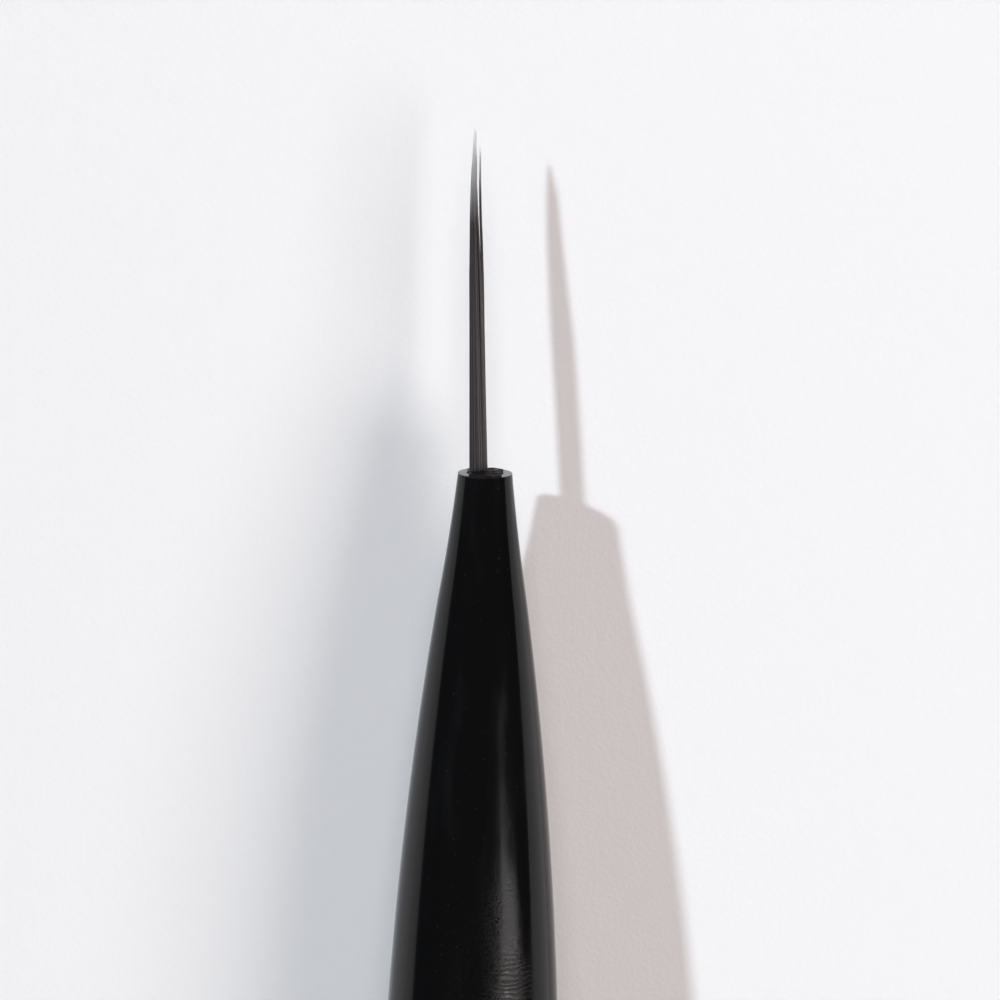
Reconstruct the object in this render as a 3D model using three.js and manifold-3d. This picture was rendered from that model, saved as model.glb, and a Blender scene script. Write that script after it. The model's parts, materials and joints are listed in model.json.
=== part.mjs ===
// A fine-line calligraphy brush pen, lying on its side with the cap posted on its rear end.
// Millimetres, +Z up. The pen's axis is the Y axis and the tuft points towards +Y.
// The origin is the centre of the cap crown's flat end face.
//
// Places along the pen are written as s, the distance behind the nose's lip, so the tuft
// has negative s. y = LENGTH - s.

import * as THREE from 'three';
import { mergeVertices } from 'three/addons/utils/BufferGeometryUtils.js';
import Module from 'manifold-3d';

const wasm = await Module();
wasm.setup();

// ---- Driving dimensions ---------------------------------------------------------------

const FINE = 32; // sides of the large round pieces
const COARSE = 20; // sides of the small ones
const GAP = 0.1; // between two pieces that meet face to face

// Nose and grip
const LIP_RADIUS = 1.49;
const MOUTH_BORE = 0.9;
const NOSE_KNEE = { s: 7, radius: 2.4 };
const GRIP = { s: 43, radius: 5.0 };
const HOLDER_SEAT = { start: 9, end: 20, radius: 1.8 };
const SECTION_BORE = 3.0;
const NECK = { end: 52, radius: 4.0, chamfer: 0.4 };
const GRIP_EDGE = 0.2;

// Held inside the section
const SEAL = { front: -0.12, end: 1.6, radius: MOUTH_BORE - 0.05, hairway: 0.56 };
const HOLDER = { end: 21, flangeRadius: SECTION_BORE - 0.1, step: 12.3, bore: 1.05, rearBore: 0.75 };
const ROOT = { end: 12.2, radius: 0.95, pocketStart: 10.9, pocketRadius: 0.45 };
const CORE = { start: 11, taperStart: 12.3, taperEnd: 12.5, end: 55.5, radius: 0.6, pointRadius: 0.36 };
const RIBS = { count: 7, start: 21.2, pitch: 3.3, length: 1.2, radius: 2.85, stemRadius: 1.6, bore: 0.72 };
const ADAPTOR = { start: 43.2, flangeEnd: 47, radius: 2.85 };
const RING_GROOVE = { start: 44.6, end: 45.6, radius: 2.3 };
const O_RING = { radius: 2.62, gauge: 0.26 };

// Screw thread between section and barrel
const THREAD_LEAD = 1.2;
const THREAD_TURNS = 3.5;
const THREAD_START = 46.5;
const THREAD_BEAD = 0.26;
const NUT_RADIUS = 4.45;

// Barrel
const RING_LENGTH = 2;
const BARREL = { start: GRIP.s + RING_LENGTH, end: 100, frontRadius: 5.0, rearRadius: 5.75 };
const STUB = { end: 117.5, radius: 4.6 };
const BARREL_BORE = 3.9;
const NUT_END = 53;
const PLUG = { start: 115.5, end: 118.7, edge: 0.3 };

// Cartridge
const CARTRIDGE = { start: 49, neckEnd: 53, end: 92, neckRadius: 2.5, radius: 3.3, wall: 0.35 };
const CARTRIDGE_END_WALL = 1;
const NIPPLE = { end: 56, radius: 1.15, tipRadius: 0.95, tipLength: 0.6, bore: 0.7 };
const BALL = { s: 58.4, radius: 1.2 };

// Cap. On the nose it reaches back to the grip's rear end, with 1.8 mm left ahead of the tuft.
const CAP_ROOM = 64;
const CAP_MOUTH = BARREL.end + 0.5;
const LINER = {
  mouth: CAP_MOUTH + 11.5,
  end: CAP_MOUTH + CAP_ROOM + 0.8,
  radius: 5.05,
  bore: 4.72,
  endWall: 0.8,
};
const CAP = { mouth: CAP_MOUTH, end: LINER.end + 1.5, radius: 5.75, bore: 5.15 };
const CAP_END_WALL = 1.3;
const CROWN_LENGTH = 2.7;
const LENGTH = CAP.end + CROWN_LENGTH; // lip to crown face
const BAND_LENGTH = 3.4;
const RIVET_RADIUS = 1.3;
const CLIP_WIDTH = 3.0;
const CLIP_GAUGE = 0.55;
const CLIP_HEIGHT = 7.6; // its outer face, from the pen's axis
const CLIP_TIP = 126;
const CLIP_BELOW_HORIZONTAL = THREE.MathUtils.degToRad(40);

// Tuft. It leans over in a bore that is much wider than the hair.
const HAIR_TIP = { x: -0.87, s: -19, z: -0.75 };
const HAIR_BEND = { x: -0.34, s: -0.7, z: -0.15 }; // where it bends, just outside the lip
const HAIR_ROOT = { x: 0, s: 10, z: 0 };
const LOCK_RADIUS = 0.42;
const STRAND_RADIUS = 0.055;
const SHANK_START = 0.75; // behind the bend
const BINDING = { start: 5.6, end: 8.4, radius: 0.66, bore: 0.48 }; // behind the bend

// ---- Materials ------------------------------------------------------------------------

const finish = (color, roughness, metalness = 0) => ({ color, roughness, metalness });
const GLOSS_BLACK = finish(0x0b0b0c, 0.12);
const MATT_BLACK = finish(0x151413, 0.75);
const NATURAL_PLASTIC = finish(0xd8d6cf, 0.45);
const HAIR = finish(0x3b3736, 0.5);
const FIBRE = finish(0xe9e4d8, 0.9);
const RUBBER = finish(0x1a1a1a, 0.8);
const STEEL = finish(0xc9cacc, 0.25, 1);
const INKED_PLASTIC = finish(0x1c1d22, 0.3);

// ---- Tools ----------------------------------------------------------------------------

const pen = new THREE.Group();

function add(name, geometry, look, parent = pen) {
  const mesh = new THREE.Mesh(geometry, new THREE.MeshStandardMaterial(look));
  mesh.name = name;
  parent.add(mesh);
  return mesh;
}

// A turned piece. The outline is a list of [s, radius], down the outside from front to
// rear and back up the inside.
function turned(outline, sides = FINE) {
  const points = outline.map(([s, radius]) => new THREE.Vector2(radius, LENGTH - s));
  return new THREE.LatheGeometry(points.reverse(), sides);
}

// A tube with square ends: the simplest turned piece.
function tube(start, end, radius, bore, sides = COARSE) {
  return turned([[start, bore], [start, radius], [end, radius], [end, bore], [start, bore]], sides);
}

function toSolid(geometry) {
  const plain = geometry.clone();
  plain.deleteAttribute('normal');
  plain.deleteAttribute('uv');
  const merged = mergeVertices(plain, 1e-5);
  return new wasm.Manifold(new wasm.Mesh({
    numProp: 3,
    vertProperties: new Float32Array(merged.attributes.position.array),
    triVerts: new Uint32Array(merged.index.array),
  }));
}

function toGeometry(solid) {
  const mesh = solid.getMesh();
  const geometry = new THREE.BufferGeometry();
  geometry.setAttribute('position', new THREE.BufferAttribute(mesh.vertProperties, 3));
  geometry.setIndex(new THREE.BufferAttribute(mesh.triVerts, 1));
  geometry.computeVertexNormals();
  return geometry;
}

const joined = (first, second) => toGeometry(toSolid(first).add(toSolid(second)));
const cut = (first, second) => toGeometry(toSolid(first).subtract(toSolid(second)));

// A right-hand screw thread's ridge: a round bead along a helix about the pen's axis.
class ThreadHelix extends THREE.Curve {
  constructor(radius, start) {
    super();
    this.radius = radius;
    this.start = start;
  }

  getPoint(t, target = new THREE.Vector3()) {
    const turn = t * THREAD_TURNS * 2 * Math.PI;
    const s = this.start + (1 - t) * THREAD_TURNS * THREAD_LEAD;
    return target.set(this.radius * Math.sin(turn), LENGTH - s, this.radius * Math.cos(turn));
  }
}

function threadBead(radius, start) {
  const section = new THREE.Shape();
  section.absarc(0, 0, THREAD_BEAD, 0, 2 * Math.PI);
  return new THREE.ExtrudeGeometry(section, {
    steps: THREAD_TURNS * 16,
    curveSegments: 3,
    extrudePath: new ThreadHelix(radius, start),
  });
}

// A group at one point of the hair's line whose +Y runs towards another.
function hairFrame(from, to) {
  const place = ({ x, s, z }) => new THREE.Vector3(x, LENGTH - s, z);
  const direction = place(to).sub(place(from));
  const group = new THREE.Group();
  group.position.copy(place(from));
  group.quaternion.setFromUnitVectors(new THREE.Vector3(0, 1, 0), direction.clone().normalize());
  group.userData.length = direction.length();
  pen.add(group);
  return group;
}

// A round piece in a hair frame. The outline is a list of [distance along, radius].
function roundAlong(outline, sides) {
  return new THREE.LatheGeometry(outline.map(([along, radius]) => new THREE.Vector2(radius, along)), sides);
}

// ---- Nose section ---------------------------------------------------------------------

function gripSection() {
  const nose = new THREE.QuadraticBezierCurve(
    new THREE.Vector2(0, LIP_RADIUS),
    new THREE.Vector2(3.4, 1.83),
    new THREE.Vector2(NOSE_KNEE.s, NOSE_KNEE.radius),
  );
  const grip = new THREE.QuadraticBezierCurve(
    new THREE.Vector2(NOSE_KNEE.s, NOSE_KNEE.radius),
    new THREE.Vector2(25, GRIP.radius),
    new THREE.Vector2(GRIP.s - GRIP_EDGE, GRIP.radius),
  );
  const outside = [...nose.getPoints(3), ...grip.getPoints(10).slice(1)];
  const body = turned([
    [0, MOUTH_BORE],
    ...outside.map((point) => [point.x, point.y]),
    [GRIP.s, GRIP.radius - GRIP_EDGE],
    [GRIP.s, NECK.radius],
    [NECK.end - NECK.chamfer, NECK.radius],
    [NECK.end, NECK.radius - NECK.chamfer],
    [NECK.end, SECTION_BORE],
    [HOLDER_SEAT.end, SECTION_BORE],
    [HOLDER_SEAT.end, HOLDER_SEAT.radius],
    [HOLDER_SEAT.start, HOLDER_SEAT.radius],
    [HOLDER_SEAT.start, MOUTH_BORE],
    [0, MOUTH_BORE],
  ]);
  add('grip_section', joined(body, threadBead(NECK.radius, THREAD_START)), GLOSS_BLACK);
}

// Dried ink between the tuft and the bore. The tuft lies against the bore's side, so the
// seal is a crescent.
function mouthSeal() {
  const disc = turned([
    [SEAL.front, 0],
    [SEAL.front, SEAL.radius - 0.25],
    [0.05, SEAL.radius],
    [SEAL.end, SEAL.radius],
    [SEAL.end, 0],
  ], COARSE);
  const hairway = new THREE.CylinderGeometry(SEAL.hairway, SEAL.hairway, 6, COARSE);
  hairway.translate(HAIR_BEND.x, LENGTH - 0.7, HAIR_BEND.z);
  add('mouth_seal', cut(disc, hairway), MATT_BLACK);
}

function tuftHolder() {
  const start = HOLDER_SEAT.start + GAP;
  const shoulder = HOLDER_SEAT.end + GAP;
  const radius = HOLDER_SEAT.radius - 0.08;
  add('tuft_holder', turned([
    [start, HOLDER.bore],
    [start, radius],
    [shoulder, radius],
    [shoulder, HOLDER.flangeRadius],
    [HOLDER.end, HOLDER.flangeRadius],
    [HOLDER.end, HOLDER.rearBore],
    [HOLDER.step, HOLDER.rearBore],
    [HOLDER.step, HOLDER.bore],
    [start, HOLDER.bore],
  ], COARSE), NATURAL_PLASTIC);
}

// The hair's fused end, with a pocket for the relay core's point.
function tuftRoot() {
  add('tuft_root', turned([
    [HAIR_ROOT.s + GAP, 0],
    [HAIR_ROOT.s + GAP, ROOT.radius],
    [ROOT.end, ROOT.radius],
    [ROOT.end, ROOT.pocketRadius],
    [ROOT.pocketStart, ROOT.pocketRadius],
    [ROOT.pocketStart, 0],
  ], COARSE), HAIR);
}

function relayCore() {
  add('relay_core', turned([
    [CORE.start, 0],
    [CORE.start, CORE.pointRadius],
    [CORE.taperStart, CORE.pointRadius],
    [CORE.taperEnd, CORE.radius],
    [CORE.end, CORE.radius],
    [CORE.end, 0],
  ], COARSE), FIBRE);
}

// A ribbed sleeve. Ink that the core can't take is held between its ribs.
function coreHolder() {
  const { count, start, pitch, length, radius, stemRadius, bore } = RIBS;
  const outline = [[start, bore]];
  for (let i = 0; i < count; i += 1) {
    const ribStart = start + i * pitch;
    outline.push([ribStart, radius], [ribStart + length, radius]);
    if (i < count - 1) outline.push([ribStart + length, stemRadius], [ribStart + pitch, stemRadius]);
  }
  const end = start + (count - 1) * pitch + length;
  outline.push([end, bore], [start, bore]);
  add('core_holder', turned(outline, 16), NATURAL_PLASTIC);
}

function cartridgeAdaptor() {
  add('cartridge_adaptor', turned([
    [ADAPTOR.start, NIPPLE.bore],
    [ADAPTOR.start, ADAPTOR.radius],
    [RING_GROOVE.start, ADAPTOR.radius],
    [RING_GROOVE.start, RING_GROOVE.radius],
    [RING_GROOVE.end, RING_GROOVE.radius],
    [RING_GROOVE.end, ADAPTOR.radius],
    [ADAPTOR.flangeEnd, ADAPTOR.radius],
    [ADAPTOR.flangeEnd, NIPPLE.radius],
    [NIPPLE.end - NIPPLE.tipLength, NIPPLE.radius],
    [NIPPLE.end, NIPPLE.tipRadius],
    [NIPPLE.end, NIPPLE.bore],
    [ADAPTOR.start, NIPPLE.bore],
  ], COARSE), NATURAL_PLASTIC);
  const ring = new THREE.TorusGeometry(O_RING.radius, O_RING.gauge, 8, COARSE);
  ring.rotateX(Math.PI / 2);
  ring.translate(0, LENGTH - (RING_GROOVE.start + RING_GROOVE.end) / 2, 0);
  add('adaptor_o_ring', ring, RUBBER);
}

// ---- Tuft -----------------------------------------------------------------------------

// The hair inside the bore, its winding, and the free tuft in two locks. The free tuft's
// foot is a ball about the point where it bends, so that it can bend without touching.
function tuft() {
  const held = hairFrame(HAIR_BEND, HAIR_ROOT);
  const shankEnd = held.userData.length - GAP;
  add('tuft_shank', roundAlong([
    [SHANK_START, 0],
    [SHANK_START, LOCK_RADIUS],
    [shankEnd, LOCK_RADIUS],
    [shankEnd, 0],
  ], 16), HAIR, held);
  add('tuft_binding', roundAlong([
    [BINDING.start, BINDING.bore],
    [BINDING.start, BINDING.radius],
    [BINDING.end, BINDING.radius],
    [BINDING.end, BINDING.bore],
    [BINDING.start, BINDING.bore],
  ], 16), FIBRE, held);

  const free = hairFrame(HAIR_BEND, HAIR_TIP);
  const reach = free.userData.length;
  const foot = new THREE.EllipseCurve(0, 0, LOCK_RADIUS, LOCK_RADIUS, -Math.PI / 2, 0);
  const lock = [
    ...foot.getPoints(4).map((point) => [point.y, point.x]),
    [reach * 0.35, 0.39],
    [reach * 0.52, 0.36],
    [reach * 0.62, 0.31],
    [reach * 0.75, 0.21],
    [reach * 0.88, 0.11],
    [reach, 0.02],
    [reach, 0],
  ];
  add('tuft_main_lock', roundAlong(lock, 16), HAIR, free);

  // The thin lock lies along the right of the main one and stands apart at the tip.
  const strand = add('tuft_side_lock', roundAlong([
    [0.15, 0],
    [0.15, STRAND_RADIUS],
    [reach * 0.7, STRAND_RADIUS],
    [reach * 0.965, 0.015],
    [reach * 0.965, 0],
  ], 8), HAIR, free);
  strand.position.x = LOCK_RADIUS + STRAND_RADIUS + 0.03;
  strand.rotation.z = 0.006;
}

// ---- Barrel ---------------------------------------------------------------------------

function trimRing() {
  const start = GRIP.s + GAP;
  const end = BARREL.start - GAP;
  const edge = 0.15;
  add('trim_ring', turned([
    [start, 4.2],
    [start, GRIP.radius - edge],
    [start + edge, GRIP.radius],
    [end - edge, GRIP.radius],
    [end, GRIP.radius - edge],
    [end, 4.2],
    [start, 4.2],
  ]), STEEL);
}

function barrel() {
  const edge = 0.2;
  const shell = turned([
    [BARREL.start, NUT_RADIUS],
    [BARREL.start, BARREL.frontRadius - edge],
    [BARREL.start + edge, BARREL.frontRadius],
    [BARREL.end - edge, BARREL.rearRadius],
    [BARREL.end, BARREL.rearRadius - edge],
    [BARREL.end, STUB.radius],
    [STUB.end, STUB.radius],
    [STUB.end, BARREL_BORE],
    [NUT_END + 1, BARREL_BORE],
    [NUT_END, NUT_RADIUS],
    [BARREL.start, NUT_RADIUS],
  ]);
  // Half a lead ahead of the section's thread, so that each ridge lies in the other's groove.
  const nut = threadBead(NUT_RADIUS, THREAD_START - THREAD_LEAD / 2);
  add('barrel', joined(shell, nut), GLOSS_BLACK);
}

function tailPlug() {
  add('tail_plug', turned([
    [PLUG.start, 0],
    [PLUG.start, BARREL_BORE - 0.1],
    [STUB.end + GAP, BARREL_BORE - 0.1],
    [STUB.end + GAP, STUB.radius],
    [PLUG.end - PLUG.edge, STUB.radius],
    [PLUG.end, STUB.radius - PLUG.edge],
    [PLUG.end, 0],
  ]), GLOSS_BLACK);
}

// ---- Cartridge ------------------------------------------------------------------------

function cartridge() {
  const { start, neckEnd, end, neckRadius, radius, wall } = CARTRIDGE;
  add('cartridge_shell', turned([
    [start, neckRadius - wall],
    [start, neckRadius],
    [neckEnd, neckRadius],
    [neckEnd + 1.5, radius],
    [end - 0.6, radius],
    [end, radius - 0.6],
    [end, 0],
    [end - CARTRIDGE_END_WALL, 0],
    [end - CARTRIDGE_END_WALL, radius - wall],
    [neckEnd + 1.7, radius - wall],
    [neckEnd + 0.2, neckRadius - wall],
    [start, neckRadius - wall],
  ], COARSE), INKED_PLASTIC);
  const stopper = tube(start + 0.3, start + 2.3, neckRadius - wall - 0.06, NIPPLE.radius + 0.08);
  add('cartridge_mouth_ring', stopper, NATURAL_PLASTIC);
  const ball = new THREE.SphereGeometry(BALL.radius, 16, 10);
  ball.translate(0, LENGTH - BALL.s, -(radius - wall - BALL.radius - GAP));
  add('agitator_ball', ball, STEEL);
}

// ---- Cap ------------------------------------------------------------------------------

function capShell() {
  const seatEnd = CAP.mouth + BAND_LENGTH + 2 * GAP;
  const seatRadius = CAP.radius - 0.26;
  add('cap_shell', turned([
    [CAP.mouth, CAP.bore],
    [CAP.mouth, seatRadius],
    [seatEnd, seatRadius],
    [seatEnd, CAP.radius],
    [CAP.end - 0.5, CAP.radius],
    [CAP.end, CAP.radius - 0.3],
    [CAP.end, RIVET_RADIUS + 0.2],
    [CAP.end - CAP_END_WALL, RIVET_RADIUS + 0.2],
    [CAP.end - CAP_END_WALL, CAP.bore],
    [CAP.mouth, CAP.bore],
  ]), GLOSS_BLACK);
  const bandStart = CAP.mouth + GAP;
  const band = tube(bandStart, bandStart + BAND_LENGTH, CAP.radius, seatRadius + 0.06, FINE);
  add('cap_band', band, STEEL);
}

function capLiner() {
  const { mouth, end, radius, bore, endWall } = LINER;
  add('cap_inner_liner', turned([
    [mouth, bore],
    [mouth, radius],
    [end, radius],
    [end, 0],
    [end - endWall, 0],
    [end - endWall, bore],
    [mouth, bore],
  ]), NATURAL_PLASTIC);
}

const COLLAR = { start: CAP.end + GAP, end: CAP.end + GAP + CLIP_GAUGE };

function capCrown() {
  add('cap_crown', turned([
    [CAP.end - 1.1, 0],
    [CAP.end - 1.1, RIVET_RADIUS],
    [COLLAR.end + GAP, RIVET_RADIUS],
    [COLLAR.end + GAP, CAP.radius - 0.3],
    [LENGTH - 1, CAP.radius - 0.35],
    [LENGTH - 0.4, CAP.radius - 0.7],
    [LENGTH, CAP.radius - 1.5],
    [LENGTH, 0],
  ]), GLOSS_BLACK);
}

// The clip's collar and arm lie in a frame whose +X points away from the pen's axis at
// the clip, which is below the horizontal on the pen's right.
function clip() {
  const frame = new THREE.Group();
  frame.rotation.y = CLIP_BELOW_HORIZONTAL;
  pen.add(frame);

  const washer = tube(COLLAR.start, COLLAR.end, CAP.radius - 0.35, RIVET_RADIUS + 0.15, FINE);
  const lugLength = CLIP_HEIGHT - 5;
  const lug = new THREE.BoxGeometry(lugLength, CLIP_GAUGE, CLIP_WIDTH);
  lug.translate(5 + lugLength / 2, LENGTH - (COLLAR.start + COLLAR.end) / 2, 0);
  add('clip_collar', joined(washer, lug), STEEL, frame);

  const inner = CLIP_HEIGHT - CLIP_GAUGE;
  const root = LENGTH - COLLAR.start + 0.15;
  const tip = LENGTH - CLIP_TIP;
  const side = new THREE.Shape();
  side.moveTo(inner, root);
  side.lineTo(CLIP_HEIGHT, root);
  side.lineTo(CLIP_HEIGHT, tip - 3.4);
  side.quadraticCurveTo(CLIP_HEIGHT - 0.2, tip - 2.2, CAP.radius + 0.7, tip - 1.6);
  side.quadraticCurveTo(CLIP_HEIGHT - 0.4, tip - 0.9, CLIP_HEIGHT, tip);
  side.lineTo(inner, tip + 0.25);
  side.quadraticCurveTo(inner - 0.2, tip - 0.7, CAP.radius + 0.12, tip - 1.5);
  side.quadraticCurveTo(inner - 0.3, tip - 2.4, inner, tip - 3.8);
  side.closePath();
  const arm = new THREE.ExtrudeGeometry(side, { depth: CLIP_WIDTH, curveSegments: 5, bevelEnabled: false });
  arm.translate(0, 0, -CLIP_WIDTH / 2);
  add('cap_clip', arm, STEEL, frame);
}

// ---- Assembly -------------------------------------------------------------------------

gripSection();
mouthSeal();
tuftHolder();
tuftRoot();
relayCore();
coreHolder();
cartridgeAdaptor();
tuft();
trimRing();
barrel();
tailPlug();
cartridge();
capShell();
capLiner();
capCrown();
clip();

export default pen;
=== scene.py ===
"""Looks for a fine-line calligraphy brush pen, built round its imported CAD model.

Lengths are in millimetres, and become metres only where Blender is given them. A place
along the pen is s, the distance behind the nose's lip, so the tuft has negative s.
"""

import json
import math

import bpy
import numpy as np
from mathutils import Matrix, Vector

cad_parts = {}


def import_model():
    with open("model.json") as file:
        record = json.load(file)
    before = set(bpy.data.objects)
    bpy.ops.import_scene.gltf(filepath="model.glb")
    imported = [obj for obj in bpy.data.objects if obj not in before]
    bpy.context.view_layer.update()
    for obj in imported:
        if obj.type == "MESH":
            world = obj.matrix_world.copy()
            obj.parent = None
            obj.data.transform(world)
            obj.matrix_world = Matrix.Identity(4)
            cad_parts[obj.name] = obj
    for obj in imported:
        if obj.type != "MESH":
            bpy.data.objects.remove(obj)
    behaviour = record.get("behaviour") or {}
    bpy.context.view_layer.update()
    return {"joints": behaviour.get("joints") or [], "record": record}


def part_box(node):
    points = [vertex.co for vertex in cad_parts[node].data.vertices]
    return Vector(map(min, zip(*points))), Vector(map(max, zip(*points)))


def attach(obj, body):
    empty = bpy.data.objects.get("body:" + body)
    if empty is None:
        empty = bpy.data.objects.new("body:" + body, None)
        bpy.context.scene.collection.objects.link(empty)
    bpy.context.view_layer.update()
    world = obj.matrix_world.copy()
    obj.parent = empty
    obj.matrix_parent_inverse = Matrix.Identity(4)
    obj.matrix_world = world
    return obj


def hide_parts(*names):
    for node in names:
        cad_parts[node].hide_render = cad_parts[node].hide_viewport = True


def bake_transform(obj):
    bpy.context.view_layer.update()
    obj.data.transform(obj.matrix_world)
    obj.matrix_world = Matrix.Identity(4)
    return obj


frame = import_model()

MM = 0.001
LIP_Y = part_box("grip_section")[1].y / MM
rng = np.random.default_rng(20)


def span(node):
    """Where a CAD node starts and ends along the pen."""
    low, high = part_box(node)
    return LIP_Y - high.y / MM, LIP_Y - low.y / MM


def outer_radius(node):
    """The largest radius of a CAD node that is turned about the pen's axis."""
    low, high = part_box(node)
    return (high.z - low.z) / 2 / MM


# ---- Nodes for materials ----------------------------------------------------------------


class Shader:
    """A material with one Principled shader, and short ways to feed it."""

    def __init__(self, name, color, roughness, **constants):
        self.material = bpy.data.materials.new(name)
        self.material.use_nodes = True
        self.tree = self.material.node_tree
        self.principled = self.tree.nodes["Principled BSDF"]
        self.set("Base Color", (*color, 1.0))
        self.set("Roughness", roughness)
        for socket, value in constants.items():
            self.set(socket.replace("_", " "), value)

    def set(self, socket, value):
        """Give one of the Principled shader's sockets a value that is the same all over."""
        self.principled.inputs[socket].default_value = value

    def feed(self, socket, source):
        """Let a node's output drive one of the Principled shader's sockets."""
        self.link(source, self.principled.inputs[socket])

    def node(self, kind, **values):
        made = self.tree.nodes.new(kind)
        for name, value in values.items():
            setattr(made, name, value)
        return made

    def link(self, source, target):
        self.tree.links.new(source, target)

    def place(self, scale=(1.0, 1.0, 1.0)):
        """The object's own coordinates in millimetres, each times its scale."""
        coordinates = self.node("ShaderNodeTexCoord")
        mapping = self.node("ShaderNodeMapping")
        mapping.inputs["Scale"].default_value = [1000 * k for k in scale]
        self.link(coordinates.outputs["Object"], mapping.inputs["Vector"])
        return mapping.outputs["Vector"]

    def noise(self, place, scale, detail=2.0, roughness=0.5):
        made = self.node("ShaderNodeTexNoise")
        made.inputs["Scale"].default_value = scale
        made.inputs["Detail"].default_value = detail
        made.inputs["Roughness"].default_value = roughness
        self.link(place, made.inputs["Vector"])
        return made.outputs["Fac"]

    def spots(self, place, scale, size):
        """1 in the middle of scattered round spots, 0 outside them."""
        cells = self.node("ShaderNodeTexVoronoi", feature="F1")
        cells.inputs["Scale"].default_value = scale
        self.link(place, cells.inputs["Vector"])
        return self.ramp(cells.outputs["Distance"], 0.3 * size, size, 1.0, 0.0)

    def part(self, axis, place):
        """One coordinate of a place."""
        made = self.node("ShaderNodeSeparateXYZ")
        self.link(place, made.inputs["Vector"])
        return made.outputs[axis]

    def distance(self, place, point):
        made = self.node("ShaderNodeVectorMath", operation="DISTANCE")
        made.inputs[1].default_value = point
        self.link(place, made.inputs[0])
        return made.outputs["Value"]

    def ridges(self, place, scale, distortion):
        """Wavy stripes across the pen, each from 0 to 1 and back."""
        made = self.node("ShaderNodeTexWave", bands_direction="Y")
        made.inputs["Scale"].default_value = scale
        made.inputs["Distortion"].default_value = distortion
        made.inputs["Detail Scale"].default_value = 0.6
        self.link(place, made.inputs["Vector"])
        return made.outputs["Fac"]

    def ramp(self, value, low, high, start=0.0, end=1.0):
        """value taken from low..high to start..end, held at both ends."""
        made = self.node("ShaderNodeMapRange")
        made.inputs["From Min"].default_value = low
        made.inputs["From Max"].default_value = high
        made.inputs["To Min"].default_value = start
        made.inputs["To Max"].default_value = end
        self.link(value, made.inputs["Value"])
        return made.outputs["Result"]

    def math(self, operation, first, second):
        made = self.node("ShaderNodeMath", operation=operation)
        for socket, value in zip(made.inputs, (first, second)):
            if isinstance(value, (int, float)):
                socket.default_value = value
            else:
                self.link(value, socket)
        return made.outputs["Value"]

    def total(self, base, *effects):
        """base with each (value, weight) effect added to it."""
        for value, weight in effects:
            base = self.math("ADD", base, self.math("MULTIPLY", value, weight))
        return base

    def mix_color(self, factor, first, second):
        made = self.node("ShaderNodeMix", data_type="RGBA")
        self.link(factor, made.inputs[0])
        for socket, value in zip((made.inputs[6], made.inputs[7]), (first, second)):
            if isinstance(value, tuple):
                socket.default_value = (*value, 1.0)
            else:
                self.link(value, socket)
        return made.outputs[2]

    def bump(self, height, distance, strength):
        """Relief: distance is how many millimetres a height of 1 stands for."""
        made = self.node("ShaderNodeBump")
        made.inputs["Strength"].default_value = strength
        made.inputs["Distance"].default_value = distance * MM
        self.link(height, made.inputs["Height"])
        self.feed("Normal", made.outputs["Normal"])


# ---- Materials --------------------------------------------------------------------------

PRINT_PLACE = (2.1, LIP_Y - 27.8, 3.5)
HANDLED_SQUEEZE = 0.3  # along the pen, so that the handled patch is long and narrow
HANDLED_PLACE = (0.9, (LIP_Y - 30.0) * HANDLED_SQUEEZE, 4.3)


def gloss_black_plastic():
    """Polished moulding with dust, smudges and a fingerprint. The lip's flat face is rougher, and
    painted light grey as a painted reflection of the floor below it.
    """
    black, smeared = (0.0035, 0.0035, 0.0037), (0.006, 0.006, 0.0065)
    dusty, painted_lip_reflection = (0.03, 0.03, 0.03), (0.21, 0.21, 0.21)
    polish = 0.11
    shader = Shader("gloss_black_plastic", black, polish, Specular_IOR_Level=0.22)
    place = shader.place()
    along = shader.place(scale=(1.0, 0.12, 1.0))
    smudge = shader.ramp(shader.noise(along, 0.55, 3.0, 0.6), 0.5, 0.72)
    dust = shader.spots(place, 2.4, 0.065)
    lip = shader.ramp(shader.part("Y", place), LIP_Y - 0.03, LIP_Y - 0.015)
    near_print = shader.ramp(shader.distance(place, PRINT_PLACE), 0.6, 2.0, 1.0, 0.0)
    ridges = shader.math("MULTIPLY", near_print, shader.ridges(place, 1.2, 9.0))
    patch = shader.place(scale=(1.0, HANDLED_SQUEEZE, 1.0))
    handled = shader.ramp(shader.distance(patch, HANDLED_PLACE), 2.0, 3.1, 1.0, 0.0)
    mottle = shader.ramp(shader.noise(place, 7.0, 3.0, 0.75), 0.44, 0.56)
    mottle = shader.math("MULTIPLY", handled, mottle)
    grain = shader.noise(place, 9.0, 3.0, 0.6)
    rough = shader.total(
        polish, (smudge, 0.1), (dust, 0.4), (ridges, 0.25), (mottle, 0.16), (lip, 0.25))
    color = shader.mix_color(smudge, black, smeared)
    color = shader.mix_color(dust, color, dusty)
    # painted reflection: the lip's flat face is painted light grey for the bright floor it mirrors
    color = shader.mix_color(lip, color, painted_lip_reflection)
    height = shader.total(0.0, (grain, 0.22), (dust, 1.0), (ridges, 1.6), (mottle, 0.9))
    shader.feed("Roughness", rough)
    shader.feed("Base Color", color)
    shader.bump(height, 0.004, 0.8)
    return shader.material


def dried_ink():
    """Matt crust with a few brownish bits where it dried glossy."""
    crust, glaze = (0.004, 0.0037, 0.0038), (0.02, 0.014, 0.011)
    matt, glossy = 0.7, 0.25
    shader = Shader("dried_ink", crust, matt, Specular_IOR_Level=0.12)
    place = shader.place()
    shine = shader.ramp(shader.noise(place, 4.0, 3.0), 0.56, 0.66)
    shader.feed("Roughness", shader.ramp(shine, 0.0, 1.0, matt, glossy))
    shader.feed("Base Color", shader.mix_color(shine, crust, glaze))
    shader.bump(shader.noise(place, 14.0, 4.0, 0.6), 0.03, 0.7)
    return shader.material


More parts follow.
